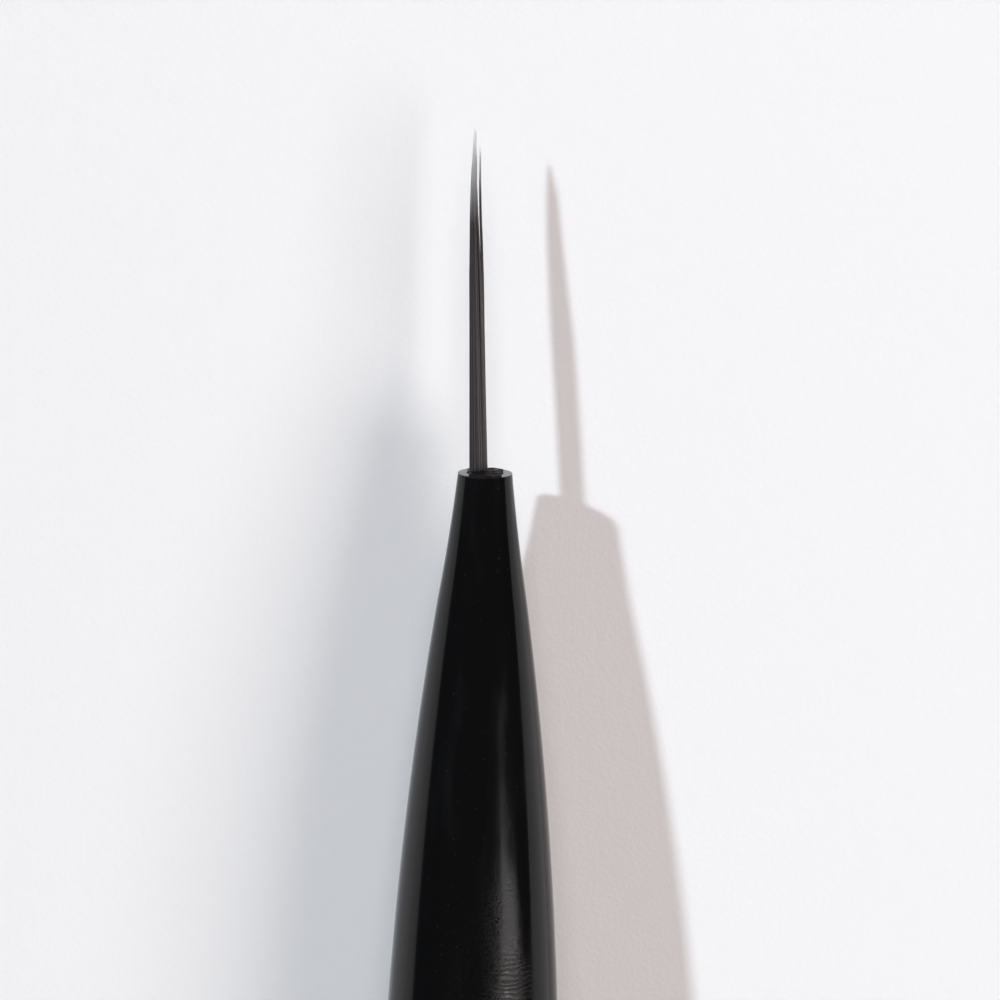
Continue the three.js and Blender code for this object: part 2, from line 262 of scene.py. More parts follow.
def brush_hair():
    """Dark hair that pales towards its end, with a tone of its own for each hair. On the main lock
    that tone also holds painted sheen, paler at the lock's sides.
    """
    darkest, lightest = (0.0155, 0.0105, 0.0135), (0.12, 0.113, 0.106)
    bleached = (0.8, 0.79, 0.785)
    shader = Shader("brush_hair", darkest, 0.38, Specular_IOR_Level=0.6)
    tone_and_sheen = shader.node("ShaderNodeAttribute", attribute_name="tone_and_sheen")
    pale = shader.node("ShaderNodeAttribute", attribute_name="pale")
    # each hair's value is its own tone, with painted sheen on the main lock's sides
    dark = shader.mix_color(tone_and_sheen.outputs["Fac"], darkest, lightest)
    shader.feed("Base Color", shader.mix_color(pale.outputs["Fac"], dark, bleached))
    return shader.material


def steel_trim():
    """Steel polished round and round, which leaves fine rings on it."""
    shader = Shader("steel_trim", (0.62, 0.62, 0.63), 0.22, Metallic=1.0)
    around = shader.place(scale=(0.4, 9.0, 0.4))
    shader.feed("Roughness", shader.ramp(shader.noise(around, 1.5, 3.0), 0.3, 0.7, 0.16, 0.3))
    shader.bump(shader.noise(around, 3.0, 3.0), 0.002, 0.4)
    return shader.material


def textured(name, colors, rough, grain, stretch=(1.0, 1.0, 1.0), relief=0.003, **constants):
    """Colour, roughness and relief that vary together, with this many grains to a millimetre."""
    shader = Shader(name, colors[0], rough[0], **constants)
    value = shader.noise(shader.place(scale=stretch), grain, 3.0, 0.6)
    shader.feed("Base Color", shader.mix_color(shader.ramp(value, 0.35, 0.65), *colors))
    shader.feed("Roughness", shader.ramp(value, 0.3, 0.7, *rough))
    shader.bump(value, relief, 0.6)
    return shader.material


LENGTHWISE = (1.0, 0.06, 1.0)
MILKY = ((0.72, 0.71, 0.67), (0.64, 0.63, 0.59))
FIBRES = ((0.045, 0.04, 0.045), (0.09, 0.08, 0.085))
THREAD = ((0.62, 0.59, 0.52), (0.48, 0.45, 0.39))
RUBBER = ((0.012, 0.012, 0.012), (0.022, 0.022, 0.022))
INKED = ((0.016, 0.016, 0.022), (0.03, 0.03, 0.038))
BRIGHT_STEEL = ((0.76, 0.76, 0.77), (0.68, 0.68, 0.69))
MATERIALS = {
    "gloss_black_plastic": gloss_black_plastic(),
    "dried_ink": dried_ink(),
    "brush_hair": brush_hair(),
    "natural_plastic": textured("natural_plastic", MILKY, (0.36, 0.5), 0.9, Subsurface_Weight=0.1),
    "ink_fibre": textured("ink_fibre", FIBRES, (0.95, 0.8), 14.0, LENGTHWISE, 0.02),
    "binding_thread": textured("binding_thread", THREAD, (0.9, 0.75), 18.0, relief=0.02),
    "seal_rubber": textured("seal_rubber", RUBBER, (0.55, 0.7), 6.0, relief=0.004),
    "steel_trim": steel_trim(),
    "ball_steel": textured(
        "ball_steel", BRIGHT_STEEL, (0.07, 0.16), 5.0, relief=0.001, Metallic=1.0),
    "inked_plastic": textured("inked_plastic", INKED, (0.2, 0.4), 1.2, relief=0.002),
}
NODE_SLOT = {row["node"]: row["material_slot"] for row in frame["record"]["subparts"]}
BODIES = frame["record"]["behaviour"]["bodies"]
NODE_BODY = {node: body for body, nodes in BODIES.items() for node in nodes}


# ---- Meshes -----------------------------------------------------------------------------
# A solid is (points, faces): points in millimetres, and faces of point numbers.

EASED = 0.06  # the small fillet on every turned edge that has no larger one
FILLET_STEPS = 5
THREAD_LEAD = 1.2
THREAD_TURNS = 3.5
THREAD_GAUGE = 0.26
THREAD_START = 46.5


def joined(*solids):
    """Several solids as one. They may run into each other."""
    points, faces = [], []
    for more_points, more_faces in solids:
        base = len(points)
        points += more_points
        faces += [tuple(base + k for k in face) for face in more_faces]
    return points, faces


def band(first, second, count):
    """The faces between two rings of count points, given each ring's first point."""
    pairs = [(k, (k + 1) % count) for k in range(count)]
    return [(first + k, second + k, second + j, first + j) for k, j in pairs]


def mesh_object(name, solid, sharp_degrees=40):
    """A smooth mesh object made of a solid."""
    points, faces = solid
    mesh = bpy.data.meshes.new(name)
    mesh.from_pydata([[c * MM for c in p] for p in points], [], faces)
    mesh.validate()
    mesh.shade_smooth()
    mesh.set_sharp_from_angle(angle=math.radians(sharp_degrees))
    made = bpy.data.objects.new(name, mesh)
    bpy.context.scene.collection.objects.link(made)
    return made


def stand_for(piece, node, rides=True):
    """piece is shown in place of this CAD node, in its material, and on its body."""
    slot = NODE_SLOT[node]
    piece.data.materials.append(MATERIALS[slot])
    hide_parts(node)
    if rides:
        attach(piece, NODE_BODY[node])
    return piece


def show(node, solid, sharp_degrees=40):
    """The smooth piece for a rigid CAD node."""
    return stand_for(mesh_object(node + "_surface", solid, sharp_degrees), node)


def rounded(outline):
    """An outline of (s, radius, fillet) corners with each fillet drawn as an arc.

    A point just outside each arc keeps the shading of the straight stretch beside it flat.
    """
    drawn = []
    count = len(outline)
    for i, (s, radius, fillet) in enumerate(outline):
        corner = np.array((s, radius), float)
        before = np.array(outline[i - 1][:2], float) - corner
        after = np.array(outline[(i + 1) % count][:2], float) - corner
        if fillet <= 0:
            drawn.append(corner)
            continue
        reach_before, reach_after = np.linalg.norm(before), np.linalg.norm(after)
        before, after = before / reach_before, after / reach_after
        half = math.acos(np.clip(before @ after, -1, 1)) / 2
        back = min(fillet / math.tan(half), 0.45 * reach_before, 0.45 * reach_after)
        centre = corner + (before + after) / np.linalg.norm(before + after) * back / math.cos(half)
        arc_radius = back * math.tan(half)
        ends = corner + before * back, corner + after * back
        spare = min(0.02, 0.04 * min(reach_before, reach_after))
        first, last = (math.atan2(*(end - centre)[::-1]) for end in ends)
        sweep = (last - first + math.pi) % (2 * math.pi) - math.pi
        drawn.append(ends[0] + before * spare)
        for k in range(FILLET_STEPS + 1):
            angle = first + sweep * k / FILLET_STEPS
            drawn.append(centre + arc_radius * np.array((math.cos(angle), math.sin(angle))))
        drawn.append(ends[1] + after * spare)
    return drawn


def bezier(start, control, end, count):
    """Points along the curve that leaves start and reaches end in line with control."""
    t = np.linspace(0, 1, count)[:, None]
    start, control, end = (np.array(p, float) for p in (start, control, end))
    return (1 - t) ** 2 * start + 2 * t * (1 - t) * control + t**2 * end


def lathe(outline, sides, centre=(0.0, 0.0)):
    """A solid turned about a line along the pen, through this x and z."""
    cx, cz = centre
    points, rings = [], []
    for s, radius in outline:
        if radius < 1e-6:
            rings.append([len(points)] * sides)
            points.append((cx, LIP_Y - s, cz))
            continue
        rings.append(list(range(len(points), len(points) + sides)))
        for k in range(sides):
            angle = 2 * math.pi * k / sides
            points.append((cx + radius * math.sin(angle), LIP_Y - s, cz + radius * math.cos(angle)))
    faces = []
    for i in range(len(rings)):
        first, second = rings[i], rings[(i + 1) % len(rings)]
        for k in range(sides):
            j = (k + 1) % sides
            face = list(dict.fromkeys((first[k], second[k], second[j], first[j])))
            if len(face) > 2:
                faces.append(face)
    return points, faces


def turned(*outline, sides=96):
    """A lathed solid from (s, radius) or (s, radius, fillet) corners, edges eased a little."""
    corners = []
    for s, radius, *fillet in outline:
        ease = fillet[0] if fillet else EASED
        corners.append((s, radius, ease if radius > 0 else 0))
    return lathe(rounded(corners), sides)


def leaned(solid, start, end):
    """A solid drawn along the pen's axis from s = 0, moved to run from start towards end.

    start and end are (x, s, z).
    """
    first = Vector((start[0], LIP_Y - start[1], start[2]))
    last = Vector((end[0], LIP_Y - end[1], end[2]))
    turn = Vector((0, -1, 0)).rotation_difference((last - first).normalized())
    points, faces = solid
    origin = Vector((0, LIP_Y, 0))
    return [tuple(first + turn @ (Vector(p) - origin)) for p in points], faces


def thread_bead(radius, start):
    """A right-hand thread's ridge: a round bead along a helix that thins out at its ends."""
    around, rings = 8, 224
    points, faces = [], []
    for i in range(rings + 1):
        t = i / rings
        turn = 2 * math.pi * THREAD_TURNS * t
        y = LIP_Y - start - (1 - t) * THREAD_TURNS * THREAD_LEAD
        gauge = THREAD_GAUGE * min(1.0, 0.1 + 12 * t, 0.1 + 12 * (1 - t))
        for k in range(around):
            angle = 2 * math.pi * k / around
            out = radius + gauge * math.cos(angle)
            points.append((out * math.sin(turn), y + gauge * math.sin(angle), out * math.cos(turn)))
    for i in range(rings):
        faces += band(i * around, (i + 1) * around, around)
    faces.append(tuple(range(around)))
    faces.append(tuple(rings * around + k for k in reversed(range(around))))
    return points, faces


# ---- Nose section -----------------------------------------------------------------------

LIP_RADIUS = 1.49
MOUTH_BORE = 0.9
NOSE_KNEE = (7.0, 2.43)  # s and radius, where two curves of the outline meet
NOSE_CONTROL = (3.4, 1.83)
GRIP_CONTROL_S = 24.2
GRIP_RADIUS = outer_radius("trim_ring")
GRIP_END = span("trim_ring")[0] - 0.1
NECK_RADIUS = 4.0
SECTION_BORE = 3.0
HOLDER_SEAT = {"start": 9.0, "end": 20.0, "radius": 1.8}


def grip_section():
    """Nose and grip in one moulding, with a threaded neck and a stepped bore."""
    neck_end = span("grip_section")[1]
    grip_control, grip_end = (GRIP_CONTROL_S, GRIP_RADIUS), (GRIP_END - 0.2, GRIP_RADIUS)
    nose = bezier((0.0, LIP_RADIUS), NOSE_CONTROL, NOSE_KNEE, 24)[1:]
    grip = bezier(NOSE_KNEE, grip_control, grip_end, 64)[1:]
    lip = rounded([(0.0, MOUTH_BORE, 0.03), (0.0, LIP_RADIUS, 0.025), (*nose[0], 0)])[:-1]
    rear = rounded([
        (GRIP_END - 0.3, GRIP_RADIUS, 0),
        (GRIP_END, GRIP_RADIUS, 0.15),
        (GRIP_END, NECK_RADIUS, EASED),
        (neck_end, NECK_RADIUS, 0.3),
        (neck_end, SECTION_BORE, EASED),
        (HOLDER_SEAT["end"], SECTION_BORE, EASED),
        (HOLDER_SEAT["end"], HOLDER_SEAT["radius"], EASED),
        (HOLDER_SEAT["start"], HOLDER_SEAT["radius"], EASED),
        (HOLDER_SEAT["start"], MOUTH_BORE, EASED),
        (0.2, MOUTH_BORE, 0),
    ])
    moulding = lathe([*lip, *nose, *grip, *rear[1:]], sides=160)
    return joined(moulding, thread_bead(NECK_RADIUS, THREAD_START))


show("grip_section", grip_section())


# ---- Inside the section -----------------------------------------------------------------

HOLDER_STEP = 12.3
GROOVE = {"start": 44.6, "end": 45.6, "radius": 2.3}


def tuft_holder():
    """A tube with a wide front bore for the tuft's root and a narrow one for the core."""
    start, end = span("tuft_holder")
    shoulder = HOLDER_SEAT["end"] + 0.1
    radius, flange = HOLDER_SEAT["radius"] - 0.08, 2.9
    root_bore, core_bore = 1.05, 0.75
    return turned(
        (start, root_bore), (start, radius, 0.15), (shoulder, radius), (shoulder, flange),
        (end, flange), (end, core_bore), (HOLDER_STEP, core_bore), (HOLDER_STEP, root_bore),
        sides=64)


def tuft_root():
    """The fused button at the hairs' end, with a socket for the relay core's tip."""
    start, end = span("tuft_root")
    radius, socket_radius, socket_bottom = 0.95, 0.45, 10.9
    return turned(
        (start, 0), (start, radius, 0.15), (end, radius), (end, socket_radius),
        (socket_bottom, socket_radius), (socket_bottom, 0), sides=48)


def relay_core():
    """A fibre rod whose thin tip reaches into the tuft's root."""
    start, end = span("relay_core")
    tip_radius, radius = 0.36, 0.6
    return turned(
        (start, 0), (start, tip_radius), (HOLDER_STEP, tip_radius, 0.1),
        (HOLDER_STEP + 0.2, radius, 0.1), (end, radius), (end, 0), sides=48)


def core_holder():
    """A ribbed sleeve. Ink that the core can't take is held between its ribs."""
    start = span("core_holder")[0]
    count, pitch, length = 7, 3.3, 1.2
    bore, stem, rib = 0.72, 1.6, 2.85
    outline = [(start, bore)]
    for i in range(count):
        first = start + i * pitch
        outline += [(first, rib), (first + length, rib)]
        if i < count - 1:
            outline += [(first + length, stem), (first + pitch, stem)]
    outline.append((start + (count - 1) * pitch + length, bore))
    return turned(*outline, sides=64)


def cartridge_adaptor():
    """A grooved plug with a nipple that the cartridge is pushed onto."""
    start, end = span("cartridge_adaptor")
    flange, flange_end, nipple, bore = 2.85, 47.0, 1.15, 0.7
    groove_start, groove_end, groove_radius = GROOVE["start"], GROOVE["end"], GROOVE["radius"]
    return turned(
        (start, bore), (start, flange), (groove_start, flange), (groove_start, groove_radius),
        (groove_end, groove_radius), (groove_end, flange), (flange_end, flange),
        (flange_end, nipple), (end - 0.6, nipple, 0.3), (end, nipple - 0.2), (end, bore),
        sides=64)


def adaptor_o_ring():
    """A round-sectioned ring in the adaptor's groove."""
    radius, gauge, steps = 2.62, 0.26, 20
    middle = (GROOVE["start"] + GROOVE["end"]) / 2
    turns = [2 * math.pi * k / steps for k in range(steps)]
    return lathe([(middle - gauge * math.cos(a), radius + gauge * math.sin(a)) for a in turns], 64)


show("tuft_holder", tuft_holder())
show("tuft_root", tuft_root())
show("relay_core", relay_core())
show("core_holder", core_holder())
show("cartridge_adaptor", cartridge_adaptor())
show("adaptor_o_ring", adaptor_o_ring())


# ---- Barrel -----------------------------------------------------------------------------

BARREL_END = 100.0
STUB_RADIUS = 4.6


def barrel():
    """A flaring tube with a threaded front end, and a stub behind to post the cap on."""
    start, end = span("barrel")
    front, rear = GRIP_RADIUS, outer_radius("barrel")
    bore, nut_radius, nut_end = 3.9, 4.45, 53.0
    tube = turned(
        (start, nut_radius), (start, front, 0.2), (BARREL_END, rear, 0.2),
        (BARREL_END, STUB_RADIUS), (end, STUB_RADIUS, 0.15), (end, bore),
        (nut_end + 1, bore), (nut_end, nut_radius), sides=128)
    # Half a lead ahead of the section's thread, so that each ridge lies in the other's groove.
    return joined(tube, thread_bead(nut_radius, THREAD_START - THREAD_LEAD / 2))


def trim_ring():
    """A loose ring round the neck."""
    start, end = span("trim_ring")
    bore = 4.2
    return turned(
        (start, bore), (start, GRIP_RADIUS, 0.2), (end, GRIP_RADIUS, 0.2), (end, bore), sides=128)


def tail_plug():
    """It closes the stub's rear end."""
    start, end = span("tail_plug")
    shoulder = span("barrel")[1] + 0.1
    plug_radius = 3.8
    return turned(
        (start, 0), (start, plug_radius, 0.2), (shoulder, plug_radius), (shoulder, STUB_RADIUS),
        (end, STUB_RADIUS, 0.4), (end, 0))


show("trim_ring", trim_ring())
show("barrel", barrel())
show("tail_plug", tail_plug())


# ---- Cartridge --------------------------------------------------------------------------


def cartridge_shell():
    """A blown bottle: a thin wall, a neck in front and a thicker bottom behind."""
    start, end = span("cartridge_shell")
    neck, neck_end, radius, wall, bottom = 2.5, 53.0, 3.3, 0.35, 1.0
    return turned(
        (start, neck - wall), (start, neck, 0.1), (neck_end, neck, 0.4),
        (neck_end + 1.5, radius, 0.8), (end, radius, 0.6), (end, 0), (end - bottom, 0),
        (end - bottom, radius - wall, 0.3), (neck_end + 1.7, radius - wall, 0.6),
        (neck_end + 0.2, neck - wall, 0.3))


def cartridge_mouth_ring():
    """The ring in the cartridge's neck that grips the adaptor's nipple."""
    start, end = span("cartridge_mouth_ring")
    bore, radius = 1.23, outer_radius("cartridge_mouth_ring")
    return turned((start, bore), (start, radius), (end, radius), (end, bore), sides=64)


def agitator_ball():
    """A steel ball that lies inside the cartridge, off the pen's axis."""
    low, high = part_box("agitator_ball")
    radius = (high.y - low.y) / 2 / MM
    middle = LIP_Y - (high.y + low.y) / 2 / MM
    turns = [math.pi * k / 24 for k in range(25)]
    outline = [(middle - radius * math.cos(a), radius * math.sin(a)) for a in turns]
    return lathe(outline, 48, centre=(0.0, (high.z + low.z) / 2 / MM))


show("cartridge_shell", cartridge_shell())
show("cartridge_mouth_ring", cartridge_mouth_ring())
show("agitator_ball", agitator_ball(), sharp_degrees=80)


# ---- Cap --------------------------------------------------------------------------------

CAP_RADIUS = outer_radius("cap_shell")
CAP_BORE = 5.15
BAND_SEAT = CAP_RADIUS - 0.26
RIVET = 1.3
CROWN_RADIUS = 5.45
CLIP_WIDTH = 3.0
CLIP_GAUGE = 0.55
CLIP_HEIGHT = 7.6  # its outer face, from the pen's axis
CLIP_TIP = 126.0
CLIP_BELOW_HORIZONTAL = math.radians(40)


def cap_shell():
    """The outer tube, with a seat for the band and a hole for the crown's rivet."""
    start, end = span("cap_shell")
    seat_end = span("cap_band")[1] + 0.1
    wall = 1.3
    return turned(
        (start, CAP_BORE), (start, BAND_SEAT), (seat_end, BAND_SEAT), (seat_end, CAP_RADIUS, 0.1),
        (end, CAP_RADIUS, 0.4), (end, RIVET + 0.2), (end - wall, RIVET + 0.2),
        (end - wall, CAP_BORE), sides=128)


def cap_crown():
    """A domed disc with a rivet that holds the clip's collar."""
    start, end = span("cap_crown")
    under = span("clip_collar")[1] + 0.1
    dome = bezier((end - 1.0, CROWN_RADIUS - 0.05), (end - 0.1, 5.2), (end, 4.1), 14)
    peg = [(start, 0.0), (start, RIVET - 0.1), (start + 0.1, RIVET), (under, RIVET)]
    rim = rounded([(under, RIVET, 0), (under, CROWN_RADIUS, 0.1), (*dome[0], 0)])
    return lathe([*peg, *rim[1:], *dome[1:], (end, 0.0)], 128)


def cap_band():
    """A metal band in the shell's seat, flush with the shell."""
    start, end = span("cap_band")
    bore = BAND_SEAT + 0.06
    return turned(
        (start, bore), (start, CAP_RADIUS, 0.08), (end, CAP_RADIUS, 0.08), (end, bore), sides=128)


def cap_inner_liner():
    """A cup inside the shell."""
    start, end = span("cap_inner_liner")
    bore, radius, bottom = 4.72, 5.05, 0.8
    return turned(
        (start, bore), (start, radius, 0.1), (end, radius, 0.3), (end, 0),
        (end - bottom, 0), (end - bottom, bore, 0.3))


def on_clip_side(radial, s, across):
    """A point given by its distance out from the axis on the clip's side of the cap."""
    c, d = math.cos(CLIP_BELOW_HORIZONTAL), math.sin(CLIP_BELOW_HORIZONTAL)
    return radial * c + across * d, LIP_Y - s, -radial * d + across * c


def strip(outline, width, ease):
    """A strip cut from sheet: an outline of (radial, s) with its two long edges eased."""
    corners = np.array(outline, float)
    following = np.roll(corners, -1, axis=0)
    ahead = following - corners
    ahead /= np.linalg.norm(ahead, axis=1)[:, None]
    normal = np.stack([ahead[:, 1], -ahead[:, 0]], axis=1)
    normal = normal + np.roll(normal, 1, axis=0)
    normal /= np.linalg.norm(normal, axis=1)[:, None]
    area = np.sum(corners[:, 0] * following[:, 1] - following[:, 0] * corners[:, 1])
    inward = -normal * math.copysign(1.0, area)
    layers = ((-width / 2, ease), (-width / 2 + 0.3 * ease, 0.3 * ease), (-width / 2 + ease, 0.0))
    layers += tuple((-across, inset) for across, inset in reversed(layers))
    points, faces = [], []
    count = len(corners)
    for across, inset in layers:
        points += [on_clip_side(*p, across) for p in corners + inward * inset]
    for i in range(len(layers) - 1):
        faces += band(i * count, (i + 1) * count, count)
    faces.append(tuple(reversed(range(count))))
    faces.append(tuple((len(layers) - 1) * count + k for k in range(count)))
    return points, faces


def clip_collar():
    """A washer round the rivet, with a lug that carries the clip."""
    start, end = span("clip_collar")
    bore, radius = RIVET + 0.15, 5.4
    inner, outer = 5.0, CLIP_HEIGHT
    washer = turned((start, bore), (start, radius), (end, radius), (end, bore), sides=128)
    lug = strip([(inner, start), (outer, start), (outer, end), (inner, end)], CLIP_WIDTH, 0.08)
    return joined(washer, lug)


def cap_clip():
    """A bent strip. It dips to the cap near its tip and turns up again after the dip."""
    root, tip = span("clip_collar")[0] - 0.15, CLIP_TIP
    inner, outer = CLIP_HEIGHT - CLIP_GAUGE, CLIP_HEIGHT
    high, low = CAP_RADIUS + 0.7, CAP_RADIUS + 0.12
    outline = [(inner, root), (outer, root)]
    outline += [*bezier((outer, tip + 3.4), (outer - 0.2, tip + 2.2), (high, tip + 1.6), 12)]
    outline += [*bezier((high, tip + 1.6), (outer - 0.4, tip + 0.9), (outer, tip), 12)][1:]
    outline += [*bezier((inner, tip - 0.25), (inner - 0.2, tip + 0.7), (low, tip + 1.5), 12)]
    outline += [*bezier((low, tip + 1.5), (inner - 0.3, tip + 2.4), (inner, tip + 3.8), 12)][1:]
    return strip(outline, CLIP_WIDTH, 0.1)


show("cap_shell", cap_shell())
show("cap_band", cap_band())
show("cap_inner_liner", cap_inner_liner())
show("cap_crown", cap_crown())
show("clip_collar", clip_collar())
show("cap_clip", cap_clip(), sharp_degrees=50)


# ---- Tuft -------------------------------------------------------------------------------

JOINTS = {row["name"]: row for row in frame["joints"]}
BEND = Vector(JOINTS["tuft_bend"]["pos_m"]) / MM
HAIR_SIDES = 6
HAIR_RINGS = 36
HAIR_BACK = 1.2  # how far behind the lip the drawn hairs start
TUFT_REACH = 18.95  # from the lip to the longest hair's end
HELD_START = (BEND.x, LIP_Y - BEND.y, BEND.z)  # the hair inside the bore, as (x, s, z)
HELD_END = (0.0, 10.0, 0.0)

# Each lock's middle (x) and half width, by distance ahead of the lip.
LOCK_PLACES = (0.0, 4.0, 8.0, 10.6, 12.8, 14.2, 16.0, 18.0, 19.1)
MAIN_MIDDLE = (-0.365, -0.52, -0.675, -0.775, -0.87, -0.935, -0.98, -0.975, -0.95)
MAIN_HALF = (0.52, 0.455, 0.395, 0.36, 0.285, 0.24, 0.175, 0.12, 0.07)
SIDE_MIDDLE = (0.05, -0.125, -0.29, -0.385, -0.5, -0.585, -0.65, -0.69, -0.7)
SIDE_HALF = (0.1, 0.09, 0.09, 0.09, 0.09, 0.085, 0.07, 0.055, 0.03)
DEPTH_PLACES = (0.0, 3.0, 9.5, 13.8, 16.0, 18.0, 19.1)
HALF_DEPTH = (0.45, 0.46, 0.48, 0.33, 0.23, 0.1, 0.03)


def hair_mesh(name, hairs):
    """One mesh of tapered, closed hairs. Each hair is (path points, radii, tone with any painted
    sheen, paleness).
    """
    points, faces, tones_and_sheen, pales = [], [], [], []
    for path, radii, tone_and_sheen, paleness in hairs:
        base = len(points)
        rings = len(path)
        for i in range(rings):
            for k in range(HAIR_SIDES):
                angle = 2 * math.pi * (k + 0.5) / HAIR_SIDES
                offset = (radii[i] * math.cos(angle), 0.0, radii[i] * math.sin(angle))
                points.append(path[i] + offset)
                tones_and_sheen.append(tone_and_sheen)
                pales.append(paleness[i])
        for i in range(rings - 1):
            for k in range(HAIR_SIDES):
                j = (k + 1) % HAIR_SIDES
                a, b = base + i * HAIR_SIDES, base + (i + 1) * HAIR_SIDES
                faces.append((a + k, a + j, b + j, b + k))
        faces.append(tuple(base + k for k in reversed(range(HAIR_SIDES))))
        faces.append(tuple(base + (rings - 1) * HAIR_SIDES + k for k in range(HAIR_SIDES)))
    made = mesh_object(name, (points, faces), sharp_degrees=80)
    for label, values in (("tone_and_sheen", tones_and_sheen), ("pale", pales)):
        attribute = made.data.attributes.new(label, "FLOAT", "POINT")
        attribute.data.foreach_set("value", np.array(values, np.float32))
    return made


def tuft_height(ahead):
    """The height of the tuft's middle. It droops a little."""
    return 0.1 - 0.012 * ahead - 0.0014 * ahead**2


def lock_hairs(count, reach_of, middles, halves, tone_and_sheen_of, depth, swirl, gauge, pale_start):
    """Hairs spread over a lock's round section, each with its own length, tone (with any painted
    sheen) and wander.

    gauge is a hair's radius where it's thickest. The hairs pale from pale_start on.
    """
    hairs = []
    golden = math.pi * (3 - math.sqrt(5))
    for i in range(count):
        share = math.sqrt((i + 0.5) / count)
        angle = i * golden
        u, w = share * math.cos(angle), share * math.sin(angle)
        reach = reach_of(share)
        s = np.linspace(HAIR_BACK, -reach, HAIR_RINGS)
        ahead = np.maximum(-s, 0.0)
        along = (HAIR_BACK - s) / (HAIR_BACK + reach)
        turn = swirl * (rng.random() - 0.5) * along
        wander = 0.022 * rng.standard_normal(2)
        radii = gauge * (1 - 0.78 * np.clip((along - 0.6) / 0.4, 0, 1) ** 1.5)
        half = np.maximum(np.interp(ahead, LOCK_PLACES, halves) - radii, 0.004)
        half_z = np.maximum(depth * np.interp(ahead, DEPTH_PLACES, HALF_DEPTH) - radii, 0.004)
        x = np.interp(ahead, LOCK_PLACES, middles) + half * (u * np.cos(turn) - w * np.sin(turn))
        z = tuft_height(ahead) + half_z * (u * np.sin(turn) + w * np.cos(turn))
        x = x + wander[0] * along**2 * half / 0.3
        z = z + wander[1] * along**2
        path = np.stack([x, LIP_Y - s, z], axis=1)
        paleness = np.clip((ahead - pale_start) / (TUFT_REACH - 0.4 - pale_start), 0, 1) ** 1.1
        hairs.append((path, radii, tone_and_sheen_of(u), paleness))
    return hairs


def main_reach(share):
    """How far a hair of the main lock reaches, given how far out in the lock it lies."""
    return TUFT_REACH - 4.8 * rng.random() ** 1.3 - 0.6 * share * rng.random()


def side_reach(share):
    """The same for the side lock, whose hairs are nearly of one length."""
    return TUFT_REACH - 1.0 - 1.2 * share * rng.random()


def main_tone_and_painted_sheen(u):
    """A random tone for each hair, plus painted sheen: paler at the sides, most of all on the
    right, darker in the middle.
    """
    # painted sheen: hairs far out in the lock, most of all on the right, are painted paler
    return min(1.0, 0.5 * rng.random() ** 2 + 0.35 * max(u, -0.6 * u) ** 3)


def side_tone(u):
    """Middling, wherever in the lock the hair lies."""
    return 0.4 + 0.35 * rng.random()


main_hairs = lock_hairs(
    190, main_reach, MAIN_MIDDLE, MAIN_HALF, main_tone_and_painted_sheen,
    depth=1.0, swirl=0.45, gauge=0.04, pale_start=13.7)
side_hairs = lock_hairs(
    9, side_reach, SIDE_MIDDLE, SIDE_HALF, side_tone,
    depth=0.3, swirl=0.3, gauge=0.03, pale_start=15.2)
for node, hairs in (("tuft_main_lock", main_hairs), ("tuft_side_lock", side_hairs)):
    lock = stand_for(hair_mesh(node + "_hairs", hairs), node, rides=False)
    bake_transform(lock)


def tuft_shank():
    """The hair inside the bore, from just behind the lip to the root."""
    start, end, radius = 0.75, math.dist(HELD_START, HELD_END) - 0.1, 0.42
    rod = turned((start, 0), (start, radius, 0.1), (end, radius), (end, 0), sides=32)
    return leaned(rod, HELD_START, HELD_END)


def tuft_binding():
    """Thread wound round the shank: one coil beside the next."""
    start, end, bore, radius, coils = 5.6, 8.4, 0.48, 0.66, 16
    gauge = (end - start) / coils / 2
    outline = [(start, bore)]
    for i in range(coils):
        middle = start + (2 * i + 1) * gauge
        for k in range(7):
            angle = math.pi * k / 6
            sunk = gauge * (1 - math.sin(angle))
            outline.append((middle - gauge * math.cos(angle), radius - sunk))
    outline.append((end, bore))
    return leaned(lathe(outline, 32), HELD_START, HELD_END)


show("tuft_shank", tuft_shank())
show("tuft_binding", tuft_binding(), sharp_degrees=80)


# ---- Mouth ------------------------------------------------------------------------------

SEAL_RINGS = 30
SEAL_SIDES = 120
SEAL_OVERHANG = 0.022  # how far it stands out beyond the lip's edge
SEAL_PLUG_RADIUS = 0.86  # a little less than the mouth's bore


def seal_edge(angle, phases):
    """How far out the seal reaches: to a wavy line left and right, past the lip elsewhere."""
    wobble = 0.025 * math.sin(5 * angle + phases[0]) + 0.02 * math.sin(11 * angle + phases[1])
    across = 0.95 + 0.5 * wobble - 0.06 * math.sin(angle)
    return min(LIP_RADIUS + SEAL_OVERHANG, across / max(abs(math.cos(angle)), 0.01))


def seal_height(x, z, share, phases):
    """How high the crust stands on the lip at a place this share of the way to its edge.

    It's lumpy, thin towards its edge, and piled up round the tuft's foot.
    """
    lump = 0.05 * math.sin(5.1 * x + 3.0 * z + phases[2]) * math.sin(4.3 * z - 2.2 * x + phases[3])
    lump += 0.025 * math.sin(11 * x + phases[4]) * math.sin(9.5 * z + phases[5])
    from_foot = math.hypot(x - MAIN_MIDDLE[0], z - tuft_height(0.0)) - 0.45
    foot = math.exp(-(from_foot**2) / 0.025)
    swell = 0.03 * math.exp(-((x - 0.45) ** 2) / 0.12) * (1 if z < 0 else 0.3)
    thickness = (0.07 + 0.6 * lump + swell) * np.clip(0.85 + 0.4 * z, 0.5, 1)
    return thickness * (1 - share**14) + 0.13 * foot * (1 - share**4) + 0.004


